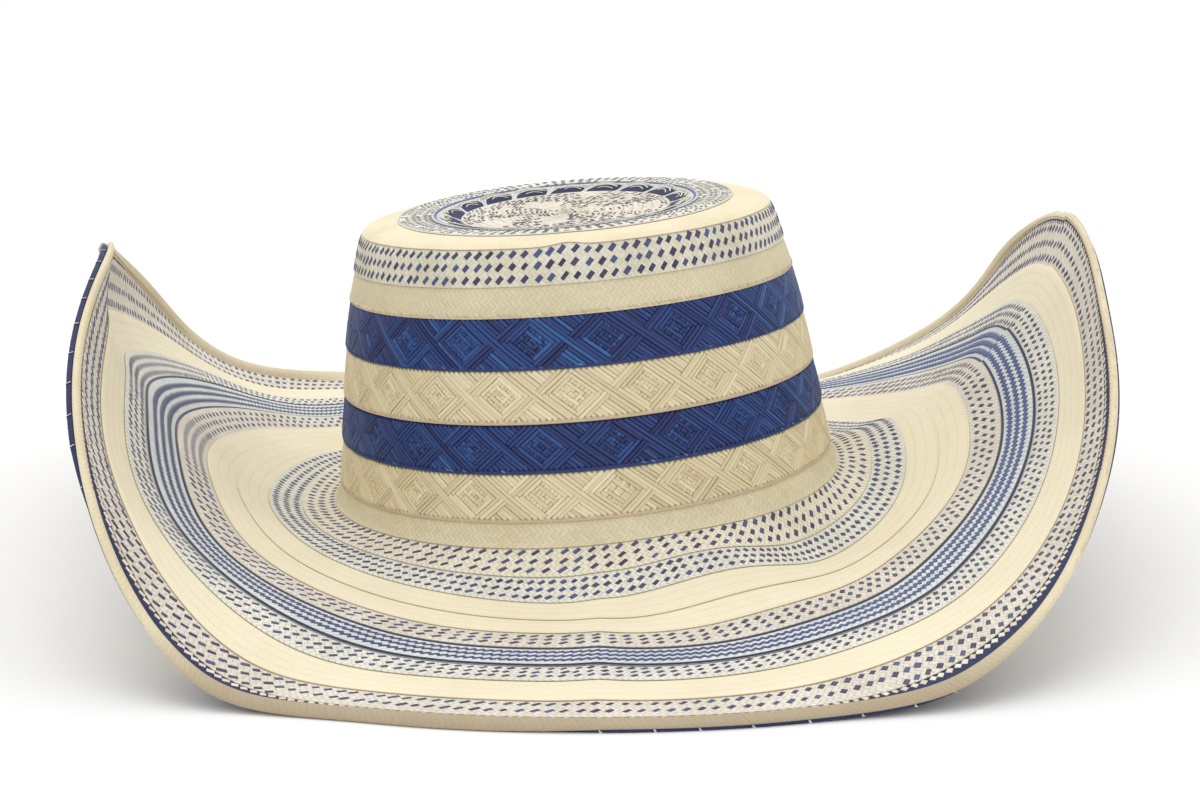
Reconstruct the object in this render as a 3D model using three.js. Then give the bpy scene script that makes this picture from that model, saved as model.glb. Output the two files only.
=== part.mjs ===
import * as THREE from "three";

// Vueltiao hat of plaited cane-leaf strips sewn in a spiral, each turn of the spiral one closed ring wall.
// Millimetres, +Z up. The front of the hat is towards -Y and its flat-resting rims are at z = 0.

// Driving sizes.
const footWidth = 171; // outside of the crown where it meets the brim, left to right
const footLength = 198.6; // the same, front to back
const footHeight = 15.7; // the crown's foot above the surface the hat rests on
const crownHeight = 93; // from the foot up to the highest ring of the crown's top
const crownLean = 4.5; // degrees that the crown leans to the left; the lean fades to none at the rim
const brimWidth = 125.1; // from the foot to the rim at the sides, along the straw
const frontTuck = 5.2; // how much of the brim is taken in under the binding at the front and back
const bindingWidth = 6; // the part of the brim that the binding's upper face takes up
const bindingLip = 0.9; // how far the binding's fold stands out past the rim
const undersideInset = 0.6; // from the binding's inner edge to the inner edge of the strip under it
const undersideThickness = 1.0;
const strawThickness = 1.6;
const seamClearance = 0.3; // between one turn and the next
const floorBlend = 3; // height over which the resting rim eases into its flat stretch
const ringSteps = 60;
const profileSteps = 64;

const cream = 0xe4dcc0;
const checked = 0xa9abb4;
const blue = 0x2c4a86;
const paleBlue = 0x8fa3c4;

// Outer or lower edge of each strip of the crown, from the centre of its top outwards and down.
// width and length are shares of the foot's, height is a share of the crown's height. tip is how many
// millimetres the edge stands higher at the back and lower at the front.
const crownStrips = [
  { name: "crown_star", width: 0.409, length: 0.486, height: 0.965, tip: 1.5, color: cream },
  { name: "crown_petal_ring", width: 0.521, length: 0.582, height: 0.995, tip: 1.9, color: blue },
  { name: "crown_speckle_ring", width: 0.654, length: 0.699, height: 0.995, tip: 2.4, color: checked },
  { name: "crown_top_ring", width: 0.803, length: 0.824, height: 0.97, tip: 1.6, color: cream },
  { name: "crown_shoulder_check_strip", width: 0.839, length: 0.857, height: 0.838, tip: 0.4, color: checked },
  { name: "crown_plain_strip", width: 0.865, length: 0.88, height: 0.736, tip: 0, color: cream },
  { name: "crown_blue_band_upper", width: 0.898, length: 0.908, height: 0.571, tip: 0, color: blue },
  { name: "crown_cream_band_upper", width: 0.924, length: 0.93, height: 0.399, tip: 0, color: cream },
  { name: "crown_blue_band_lower", width: 0.948, length: 0.95, height: 0.241, tip: 0, color: blue },
  { name: "crown_cream_band_lower", width: 0.971, length: 0.97, height: 0.084, tip: 0, color: cream },
  { name: "crown_foot_strip", width: 1, length: 1, height: 0, tip: 0, color: cream },
];
const crownCentreHeight = 0.962; // the top is dished: its centre lies lower than the petal ring

// Strips of the brim from the foot outwards, each as a share of the brim inside the binding.
// takenIn is how much of the front's tuck the strip's outer edge follows.
const brimStrips = [
  { name: "brim_check_strip_1", share: 0.101, takenIn: 0, color: checked },
  { name: "brim_check_strip_2", share: 0.101, takenIn: 0, color: checked },
  { name: "brim_cream_strip_1", share: 0.101, takenIn: 0, color: cream },
  { name: "brim_cream_strip_2", share: 0.102, takenIn: 0, color: cream },
  { name: "brim_check_strip_3", share: 0.11, takenIn: 0, color: checked },
  { name: "brim_blue_strip", share: 0.132, takenIn: 0, color: paleBlue },
  { name: "brim_check_strip_4", share: 0.099, takenIn: 0, color: checked },
  { name: "brim_cream_strip_3", share: 0.128, takenIn: 0, color: cream },
  { name: "brim_check_strip_5", share: 0.111, takenIn: 0.77, color: checked },
  { name: "brim_edge_strip", share: 0.015, takenIn: 1, color: blue },
];

// Slope of the brim in degrees, up and outwards, at five even places from the foot to the rim.
// One row every 22.5 degrees: right side first, then the back, the left side and the front.
const brimSlopes = [
  { at: "right", foot: 27, inner: 29, middle: 53, outer: 62, rim: 83 },
  { at: "right, a little back", foot: -10, inner: 24, middle: 43, outer: 59, rim: 85 },
  { at: "back right", foot: -19, inner: 9, middle: 19, outer: 21, rim: 31 },
  { at: "back, a little right", foot: -11, inner: -4, middle: -2, outer: -4, rim: -7 },
  { at: "back", foot: -6, inner: -6, middle: -9, outer: -12, rim: -15 },
  { at: "back, a little left", foot: -5, inner: 1, middle: -2, outer: -5, rim: -2 },
  { at: "back left", foot: -16, inner: 4, middle: 8, outer: 6, rim: 21 },
  { at: "left, a little back", foot: -4, inner: 17, middle: 35, outer: 39, rim: 87 },
  { at: "left", foot: -9, inner: 32, middle: 47, outer: 53, rim: 119 },
  { at: "left, a little front", foot: -8, inner: 32, middle: 49, outer: 70, rim: 102 },
  { at: "front left", foot: -14, inner: 8, middle: 22, outer: 44, rim: 68 },
  { at: "front, a little left", foot: -27, inner: -6, middle: 3, outer: -16, rim: 0 },
  { at: "front", foot: -33, inner: -19, middle: 1, outer: 2, rim: -8 },
  { at: "front, a little right", foot: -11, inner: -16, middle: 0, outer: 4, rim: -15 },
  { at: "front right", foot: -61, inner: 11, middle: 14, outer: 28, rim: 57 },
  { at: "right, a little front", foot: -29, inner: 22, middle: 39, outer: 61, rim: 85 },
];

// Offsets from the middle of the straw. The underside strip hangs lowest, so it sets the resting height.
const halfStraw = strawThickness / 2;
const undersideTop = -halfStraw - seamClearance;
const undersideBottom = undersideTop - undersideThickness;
const restHeight = -undersideBottom;

// Smooth curve through p1 and p2, with p0 and p3 as their outer neighbours.
function curveThrough(p0, p1, p2, p3, t) {
  return p1 + 0.5 * t * (p2 - p0 + t * (2 * p0 - 5 * p1 + 4 * p2 - p3 + t * (3 * (p1 - p2) + p3 - p0)));
}

// Slope of the brim in radians at a bearing (0 to 1 round the hat) and a share of the way to the rim.
function slopeAt(turn, share) {
  const columns = ["foot", "inner", "middle", "outer", "rim"];
  const rows = brimSlopes.length;
  const alongRows = turn * rows;
  const row = Math.floor(alongRows);
  const byRow = [-1, 0, 1, 2].map((step) => {
    const entry = brimSlopes[(row + step + rows) % rows];
    const alongColumns = Math.min(Math.max(share, 0), 1) * (columns.length - 1);
    const column = Math.min(Math.floor(alongColumns), columns.length - 2);
    const near = [-1, 0, 1, 2].map((k) => entry[columns[Math.min(Math.max(column + k, 0), columns.length - 1)]]);
    return curveThrough(...near, alongColumns - column);
  });
  return THREE.MathUtils.degToRad(curveThrough(...byRow, alongRows - row));
}

// The crown leans about the front-to-back line through its foot.
function leaned(x, y, z, degrees) {
  const angle = THREE.MathUtils.degToRad(degrees);
  const above = z - footHeight;
  return new THREE.Vector3(
    x * Math.cos(angle) - above * Math.sin(angle),
    y,
    x * Math.sin(angle) + above * Math.cos(angle) + footHeight,
  );
}

// Straw that would dip under its resting height lies flat on the surface instead.
function rested(point) {
  const over = point.z - restHeight;
  if (over < -floorBlend) point.z = restHeight;
  else if (over < floorBlend) point.z = restHeight + (over + floorBlend) ** 2 / (4 * floorBlend);
  return point;
}

// How far the brim is taken in at a bearing: fully at the front and back, not at all at the sides.
function takenInAt(turn) {
  const towardsFront = Math.abs(Math.sin(turn * 2 * Math.PI));
  return frontTuck * THREE.MathUtils.smoothstep(towardsFront, 0.86, 0.975);
}

// Points along one bearing: the edges of every strip, from the first crown row to the rim.
function edgePoints(turn) {
  const angle = turn * 2 * Math.PI;
  const halfWidth = footWidth / 2;
  const halfLength = footLength / 2;
  const points = crownStrips.map((strip) =>
    leaned(
      halfWidth * strip.width * Math.cos(angle),
      halfLength * strip.length * Math.sin(angle),
      footHeight + crownHeight * strip.height + strip.tip * Math.sin(angle),
      crownLean,
    ),
  );
  const outward = new THREE.Vector2(Math.cos(angle) / halfWidth, Math.sin(angle) / halfLength).normalize();
  const step = brimWidth / profileSteps;
  const profile = [new THREE.Vector2(0, 0)];
  for (let k = 0; k < profileSteps; k += 1) {
    const before = slopeAt(turn, k / profileSteps);
    const after = slopeAt(turn, (k + 1) / profileSteps);
    const slope = (before + after) / 2;
    const last = profile[k];
    profile.push(new THREE.Vector2(last.x + step * Math.cos(slope), last.y + step * Math.sin(slope)));
  }
  const insideBinding = brimWidth - bindingWidth;
  let along = 0;
  const stations = brimStrips.map((strip) => {
    along += strip.share * insideBinding;
    return along - strip.takenIn * takenInAt(turn);
  });
  stations.push(brimWidth - takenInAt(turn));
  for (const station of stations) {
    const place = Math.min(station / step, profileSteps - 1e-6);
    const k = Math.floor(place);
    const out = profile[k].clone().lerp(profile[k + 1], place - k);
    points.push(
      rested(
        leaned(
          halfWidth * Math.cos(angle) + outward.x * out.x,
          halfLength * Math.sin(angle) + outward.y * out.x,
          footHeight + out.y,
          crownLean * (1 - station / brimWidth),
        ),
      ),
    );
  }
  return points;
}

// Grid of edge points. Half a step of turn puts one flat facet square to the front.
const turns = Array.from({ length: ringSteps }, (_, i) => (i + 0.5) / ringSteps);
const edges = turns.map(edgePoints);
const edgeCount = edges[0].length;
const crownCentre = leaned(0, 0, footHeight + crownHeight * crownCentreHeight, crownLean);

// Direction from one edge to the next, outwards and down, and the straw's outward normal at an edge.
function along(i, k) {
  const from = k === 0 ? crownCentre : edges[i][k - 1];
  return edges[i][k].clone().sub(from).normalize();
}

function normalAt(i, k) {
  const next = edges[(i + 1) % ringSteps][k];
  const previous = edges[(i + ringSteps - 1) % ringSteps][k];
  const around = next.clone().sub(previous).normalize();
  const inside = along(i, k).cross(around).normalize();
  if (k + 1 >= edgeCount) return inside;
  const outside = along(i, k + 1).cross(around).normalize();
  const normal = inside.clone().add(outside).normalize();
  return normal.divideScalar(Math.max(normal.dot(inside), 0.6));
}

const normals = edges.map((row, i) => row.map((_, k) => normalAt(i, k)));

// Closed ring from one section per step of turn. Each section lists its corners out along the underside,
// then back in along the top, which starts at corner topFrom. Both sides are split along the same diagonal.
function ringGeometry(sections, topFrom) {
  const corners = sections[0].length;
  const positions = sections.flat().flatMap((point) => point.toArray());
  const triangles = [];
  for (let i = 0; i < sections.length; i += 1) {
    const next = (i + 1) % sections.length;
    for (let c = 0; c < corners; c += 1) {
      const d = (c + 1) % corners;
      const a = i * corners + c;
      const b = i * corners + d;
      const e = next * corners + d;
      const f = next * corners + c;
      if (c >= topFrom) triangles.push(a, f, b, f, e, b);
      else triangles.push(a, e, b, a, f, e);
    }
  }
  return solidGeometry(positions, triangles);
}

function solidGeometry(positions, triangles) {
  const geometry = new THREE.BufferGeometry();
  geometry.setAttribute("position", new THREE.Float32BufferAttribute(positions, 3));
  geometry.setIndex(triangles);
  geometry.computeVertexNormals();
  return geometry;
}

// Point near edge k, moved along the straw and then out along its normal.
function offsetPoint(i, k, shift, lift) {
  const direction = shift < 0 ? along(i, k) : along(i, Math.min(k + 1, edgeCount - 1));
  return edges[i][k].clone().addScaledVector(direction, shift).addScaledVector(normals[i][k], lift);
}

// One turn of the spiral, between edge k - 1 and edge k, clear of both neighbours.
function stripGeometry(k) {
  const clear = seamClearance / 2;
  return ringGeometry(
    turns.map((_, i) => [
      offsetPoint(i, k - 1, clear, halfStraw),
      offsetPoint(i, k - 1, clear, -halfStraw),
      offsetPoint(i, k, -clear, -halfStraw),
      offsetPoint(i, k, -clear, halfStraw),
    ]),
    3,
  );
}

// Round piece at the centre of the crown's top.
function starGeometry() {
  const rim = turns.map((_, i) => [
    offsetPoint(i, 0, -seamClearance / 2, halfStraw),
    offsetPoint(i, 0, -seamClearance / 2, -halfStraw),
  ]);
  const up = new THREE.Vector3(0, 0, halfStraw);
  const centres = [crownCentre.clone().add(up), crownCentre.clone().sub(up)];
  const positions = rim.flat().concat(centres).flatMap((point) => point.toArray());
  const top = ringSteps * 2;
  const bottom = top + 1;
  const triangles = [];
  for (let i = 0; i < ringSteps; i += 1) {
    const a = i * 2;
    const b = ((i + 1) % ringSteps) * 2;
    triangles.push(top, a, b, bottom, b + 1, a + 1, a, a + 1, b + 1, a, b + 1, b);
  }
  return solidGeometry(positions, triangles);
}

// Plaited strip folded over the rim: over the brim, round its edge and under the underside strip's edge.
function bindingGeometry() {
  const rim = edgeCount - 1;
  const fold = strawThickness * 0.9;
  return ringGeometry(
    turns.map((_, i) => [
      offsetPoint(i, rim - 1, seamClearance / 2, halfStraw + fold * 0.3),
      offsetPoint(i, rim - 1, seamClearance / 2, -halfStraw),
      offsetPoint(i, rim, -fold, -halfStraw),
      offsetPoint(i, rim, -fold, undersideBottom),
      offsetPoint(i, rim, -bindingLip * 0.2, undersideBottom),
      offsetPoint(i, rim, bindingLip, 0),
      offsetPoint(i, rim, 0, halfStraw + fold * 0.3),
    ]),
    5,
  );
}

// Strip with short bars, sewn to the underside just inside the binding's fold.
function undersideGeometry() {
  const rim = edgeCount - 1;
  const outer = strawThickness * 0.9 + seamClearance;
  return ringGeometry(
    turns.map((_, i) => [
      offsetPoint(i, rim - 1, undersideInset, undersideTop),
      offsetPoint(i, rim - 1, undersideInset, undersideBottom),
      offsetPoint(i, rim, -outer, undersideBottom),
      offsetPoint(i, rim, -outer, undersideTop),
    ]),
    3,
  );
}

const hat = new THREE.Group();

function addPiece(name, geometry, color) {
  const material = new THREE.MeshStandardMaterial({ color, roughness: 0.75, metalness: 0 });
  const mesh = new THREE.Mesh(geometry, material);
  mesh.name = name;
  hat.add(mesh);
}

crownStrips.concat(brimStrips).forEach((strip, k) => {
  addPiece(strip.name, k === 0 ? starGeometry() : stripGeometry(k), strip.color);
});
addPiece("rim_binding", bindingGeometry(), cream);
addPiece("rim_underside_strip", undersideGeometry(), blue);

// The origin is the middle of the resting surface that the hat covers.
const cover = new THREE.Box3().setFromObject(hat).getCenter(new THREE.Vector3());
hat.position.set(-cover.x, -cover.y, 0);

export default hat;
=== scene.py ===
import bpy
import numpy as np
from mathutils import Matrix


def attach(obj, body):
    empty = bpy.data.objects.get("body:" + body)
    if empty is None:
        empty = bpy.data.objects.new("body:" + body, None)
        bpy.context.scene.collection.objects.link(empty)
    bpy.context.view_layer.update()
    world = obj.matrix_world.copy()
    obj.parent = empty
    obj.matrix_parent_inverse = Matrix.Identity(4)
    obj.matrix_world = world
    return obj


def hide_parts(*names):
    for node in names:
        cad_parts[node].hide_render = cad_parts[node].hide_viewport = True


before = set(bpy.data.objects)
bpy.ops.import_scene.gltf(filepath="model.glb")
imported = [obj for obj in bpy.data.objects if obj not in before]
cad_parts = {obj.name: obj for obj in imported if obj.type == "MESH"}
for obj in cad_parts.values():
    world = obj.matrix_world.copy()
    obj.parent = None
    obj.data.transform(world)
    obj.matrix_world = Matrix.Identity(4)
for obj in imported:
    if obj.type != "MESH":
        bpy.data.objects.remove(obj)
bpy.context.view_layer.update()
view_settings = bpy.context.scene.view_settings
view_settings.view_transform = "Standard"


# Crown centre: the round, slightly puckered piece of cream and dark cane leaf where the sewing starts.
# The whole spiral is sewn over a block and its brim is curled by hand, so the hat's form comes first and
# every turn of plait is laid on it. Sizes are in millimetres until a mesh is made.
foot_half_width = 85.5
foot_half_length = 99.3
foot_height = 15.7
crown_height = 93.0
crown_lean = np.radians(4.5)
brim_reach = 125.1
front_tuck = 5.2
side_tuck = 3.4
resting_height = 2.1
resting_ease = 3.0
front_crease = 0.75
spiral_step = 1.0
hat_middle = np.array([-4.347, 1.176, 0.0])
# From the foot: the two edges of the last checked turn, and the binding's inner edge.
last_turns = [104.1, 117.3, 122.6]
# Each turn of the crown: its outer or lower edge as shares of the foot's size and of the crown's height, and
# how much higher that edge stands at the back than at the sides.
crown_turns = [
    ("crown_star", 0.409, 0.486, 0.965, 1.5),
    ("crown_petal_ring", 0.521, 0.582, 0.995, 1.9),
    ("crown_speckle_ring", 0.654, 0.699, 0.995, 2.4),
    ("crown_top_ring", 0.803, 0.824, 0.970, 1.6),
    ("crown_shoulder_check_strip", 0.839, 0.857, 0.838, 0.4),
    ("crown_plain_strip", 0.865, 0.880, 0.736, 0.0),
    ("crown_blue_band_upper", 0.898, 0.908, 0.571, 0.0),
    ("crown_cream_band_upper", 0.924, 0.930, 0.399, 0.0),
    ("crown_blue_band_lower", 0.948, 0.950, 0.241, 0.0),
    ("crown_cream_band_lower", 0.971, 0.970, 0.084, 0.0),
    ("crown_foot_strip", 1.0, 1.0, 0.0, 0.0),
]
# Slope of the brim in degrees at five even places from foot to rim, every 22.5 degrees round from the right.
brim_slopes = np.array([
    (27, 29, 53, 62, 83),
    (-10, 24, 43, 59, 85),
    (-19, 9, 19, 21, 31),
    (-11, -4, -2, -4, -7),
    (-6, -6, -9, -12, -15),
    (-5, 1, -2, -5, -2),
    (-16, 4, 8, 6, 21),
    (-4, 17, 35, 39, 87),
    (-9, 32, 47, 53, 119),
    (-8, 32, 49, 70, 102),
    (-14, 8, 22, 44, 68),
    (-27, -6, 3, -16, 0),
    (-33, -19, 1, 2, -8),
    (-11, -16, 0, 4, -15),
    (-61, 11, 14, 28, 57),
    (-29, 22, 39, 61, 85),
], dtype=float)


def curve_through(a, b, c, d, t):
    return b + 0.5 * t * (c - a + t * (2 * a - 5 * b + 4 * c - d + t * (3 * (b - c) + d - a)))


def slope_of_brim(turn, share):
    rows, columns = brim_slopes.shape
    row = np.floor(turn * rows).astype(int)
    place = np.clip(share, 0.0, 1.0) * (columns - 1)
    column = np.minimum(np.floor(place).astype(int), columns - 2)
    near_rows = []
    for step in (-1, 0, 1, 2):
        near = [brim_slopes[(row + step) % rows, np.clip(column + k, 0, columns - 1)] for k in (-1, 0, 1, 2)]
        near_rows.append(curve_through(*near, place - column))
    return np.radians(curve_through(*near_rows, turn * rows - row))


def shaped_hat():
    """Points of the form every millimetre from the crown's centre to a little past the rim, and normals."""
    bearings = 720
    turn = np.arange(bearings) / bearings
    cos, sin = np.cos(2 * np.pi * turn), np.sin(2 * np.pi * turn)
    rows = np.array([(0.0, 0.0, 0.962, 0.0)] + [row[1:] for row in crown_turns])
    crown = np.stack([
        foot_half_width * cos[:, None] * rows[None, :, 0],
        foot_half_length * sin[:, None] * rows[None, :, 1],
        foot_height + crown_height * rows[None, :, 2] + rows[None, :, 3] * sin[:, None],
    ], axis=2)
    steps = 64
    share = np.arange(steps + 1) / steps
    slope = slope_of_brim(turn[:, None], share[None, :])
    slope = (slope[:, 1:] + slope[:, :-1]) / 2
    start = np.zeros((bearings, 1))
    out = np.hstack([start, np.cumsum(np.cos(slope), axis=1)]) * brim_reach / steps
    up = np.hstack([start, np.cumsum(np.sin(slope), axis=1)]) * brim_reach / steps
    outward = np.stack([cos / foot_half_width, sin / foot_half_length], axis=1)
    outward /= np.linalg.norm(outward, axis=1, keepdims=True)
    brim = np.stack([
        foot_half_width * cos[:, None] + outward[:, :1] * out,
        foot_half_length * sin[:, None] + outward[:, 1:] * out,
        foot_height + up,
    ], axis=2)
    half = (rows[:, 0] * foot_half_width + rows[:, 1] * foot_half_length) / 2
    widths = np.hypot(np.diff(half), crown_height * np.diff(rows[:, 2]))
    crown_along = np.concatenate([[0.0], np.cumsum(widths)])
    stations = np.concatenate([crown_along, crown_along[-1] + share[1:] * brim_reach])
    points = np.concatenate([crown, brim[:, 1:]], axis=1)
    lean = crown_lean * np.concatenate([np.ones(len(rows)), 1 - share[1:]])
    above = points[:, :, 2] - foot_height
    x = points[:, :, 0] * np.cos(lean) - above * np.sin(lean)
    z = points[:, :, 0] * np.sin(lean) + above * np.cos(lean) + foot_height
    over = z - resting_height
    eased = resting_height + (over + resting_ease) ** 2 / (4 * resting_ease)
    on_brim = stations > crown_along[-1] + 0.1
    z = np.where(on_brim & (over < resting_ease), np.where(over < -resting_ease, resting_height, eased), z)
    points = np.stack([x, points[:, :, 1], z], axis=2)
    # A sample every millimetre, with the sharp turns at shoulder and foot eased as sewn straw eases them.
    samples = np.arange(int(stations[-1]) + 1.0)
    samples = np.append(samples, stations[-1])
    place = np.clip(np.searchsorted(stations, samples, side="right") - 1, 0, len(stations) - 2)
    part = ((samples - stations[place]) / (stations[place + 1] - stations[place]))[None, :, None]
    points = points[:, place] * (1 - part) + points[:, place + 1] * part
    reach = 7
    spread = 2.2
    weights = np.exp(-0.5 * (np.arange(-reach, reach + 1) / spread) ** 2)
    weights /= weights.sum()
    across = np.roll(points, bearings // 2, axis=0)[:, reach:0:-1]
    last = points[:, -1:]
    drift = (last - points[:, -4:-3]) / (samples[-1] - samples[-4])
    beyond = last + drift * np.arange(1, reach + 1)[None, :, None]
    padded = np.concatenate([across, points, beyond], axis=1)
    smooth = sum(weight * padded[:, k:k + points.shape[1]] for k, weight in enumerate(weights))
    from_foot = samples - crown_along[-1]
    # Straw bends in easy curves round the hat as well, easiest at the two ends of the brim.
    degrees = 360 * turn
    ends = np.exp(-((degrees - 170) / 30) ** 2) + 0.6 * np.exp(-((degrees - 22) / 26) ** 2)
    at_ends = ends[:, None] * np.clip(from_foot / 40, 0, 1)
    for easing, share in ((7.0, np.ones((bearings, 1))), (17.0, at_ends)):
        near = np.arange(-40, 41)
        weights = np.exp(-0.5 * (near / easing) ** 2)
        weights /= weights.sum()
        eased_round = sum(weight * np.roll(smooth, k, axis=0) for weight, k in zip(weights, near))
        smooth = smooth + (eased_round - smooth) * share[:, :, None]
    # The turns ride up a little over one another at the front, where the spiral steps from turn to turn.
    front = smooth[:, :, 1] < 0
    crease = np.exp(-(np.abs(smooth[:, :, 0] - 4.0) / 7.0) ** 1.3) * front
    rise = np.clip(from_foot / 20, 0, 1) * np.clip((brim_reach - 8 - from_foot) / 20, 0, 1)
    smooth[:, :, 2] += front_crease * crease * rise
    step = np.exp(-((smooth[:, :, 0] + 5.4) / 5.0) ** 2) * front
    smooth[:, :, 2] += spiral_step * step * np.exp(-((samples - crown_along[4]) / 8.0) ** 2)
    smooth[:, :, 2] = np.maximum(smooth[:, :, 2], np.where(from_foot > 0, resting_height, 0.0))
    around = np.roll(smooth, -1, axis=0) - np.roll(smooth, 1, axis=0)
    outwards = np.gradient(smooth, axis=1)
    away = np.cross(outwards, around)
    away[:, :3] = away[:, 4].mean(axis=0)
    away /= np.linalg.norm(away, axis=2, keepdims=True)
    past = smooth[:, -1:] + drift * np.arange(1, 5)[None, :, None]
    smooth = np.concatenate([smooth, past], axis=1) - hat_middle
    away = np.concatenate([away] + [away[:, -1:]] * 4, axis=1)
    samples = np.concatenate([samples, samples[-1] + np.arange(1, 5)])
    return smooth, away, samples, crown_along


form_points, form_away, form_samples, crown_along = shaped_hat()
foot_along = crown_along[-1]
rim_along = foot_along + brim_reach
# Where each turn starts and ends along the form. The brim's turns are added in their own section.
turn_edges = {row[0]: (crown_along[k], crown_along[k + 1]) for k, row in enumerate(crown_turns)}


def drawn_in(turn):
    """How far the brim's last turns are drawn in under the binding: fully at the front and back."""
    share = np.clip((np.abs(np.sin(2 * np.pi * turn)) - 0.9) / (0.975 - 0.9), 0, 1)
    return front_tuck * share * share * (3 - 2 * share)


def pulled_out(turn):
    """How far the last checked turn is pulled out over the narrow one where the brim stands upright."""
    bearings = [0.0, 0.16, 0.2, 0.32, 0.36, 0.59, 0.66, 0.9, 0.97, 1.0]
    share = np.interp(turn % 1.0, bearings, [1.0, 1.0, 0.0, 0.0, 1.0, 1.0, 0.0, 0.0, 1.0, 1.0])
    return side_tuck * share * share * (3 - 2 * share)


def on_form(turn, along, lift=0.0):
    """Points at a bearing (0 to 1 round the hat), so far along the straw and so high off it, and normals."""
    turn, along, lift = np.broadcast_arrays(np.asarray(turn, float), along, lift)
    drawn = drawn_in(turn) * np.interp(along - foot_along, last_turns, [0.0, 0.12, 1.0])
    pulled = pulled_out(turn) * np.interp(along - foot_along, last_turns, [0.0, 1.0, 0.0])
    along = along - drawn + pulled
    count = len(form_points)
    bearing = (turn % 1.0) * count
    i = np.floor(bearing).astype(int) % count
    place = np.interp(along, form_samples, np.arange(len(form_samples)))
    k = np.minimum(place.astype(int), len(form_samples) - 2)
    a = (bearing - np.floor(bearing))[..., None]
    b = (place - k)[..., None]
    j = (i + 1) % count
    mix = [(1 - a) * (1 - b), (1 - a) * b, a * (1 - b), a * b]
    corners = [(i, k), (i, k + 1), (j, k), (j, k + 1)]
    point = sum(weight * form_points[corner] for weight, corner in zip(mix, corners))
    away = sum(weight * form_away[corner] for weight, corner in zip(mix, corners))
    away /= np.linalg.norm(away, axis=-1, keepdims=True)
    return point + away * lift[..., None], away


def one_round(along):
    """Length of one turn of plait at a distance along the form, and the bearing of a point so far round it.

    The measuring starts at the back of the hat, where a turn's two ends meet."""
    turns = np.linspace(0.25, 1.25, 721)
    points, _ = on_form(turns, along)
    reach = np.concatenate([[0.0], np.cumsum(np.linalg.norm(np.diff(points, axis=0), axis=1))])
    length = reach[-1]
    return length, lambda run: np.interp(np.mod(run, length), reach, turns) + np.floor(run / length)


def linear(hex_colour):
    """sRGB hex to Blender's linear colour."""
    channels = [int(hex_colour[i:i + 2], 16) / 255 for i in (1, 3, 5)]
    return [c / 12.92 if c <= 0.04045 else ((c + 0.055) / 1.055) ** 2.4 for c in channels] + [1.0]


def add(tree, kind, inputs, **settings):
    """Adds a node with its settings, and gives its inputs values, sockets or nodes' first outputs."""
    node = tree.nodes.new(kind)
    for name, value in settings.items():
        setattr(node, name, value)
    for socket, value in inputs.items():
        if isinstance(value, bpy.types.Node):
            value = value.outputs[0]
        if isinstance(value, bpy.types.NodeSocket):
            tree.links.new(value, node.inputs[socket])
        else:
            node.inputs[socket].default_value = value
    return node


def new_finish(name, roughness, specular=0.5):
    """A new material with its node tree and its shader, whose gloss is set here."""
    material = bpy.data.materials.new(name)
    material.use_nodes = True
    shader = material.node_tree.nodes["Principled BSDF"]
    shader.inputs["Roughness"].default_value = roughness
    shader.inputs["Specular IOR Level"].default_value = specular
    return material, material.node_tree, shader


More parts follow.
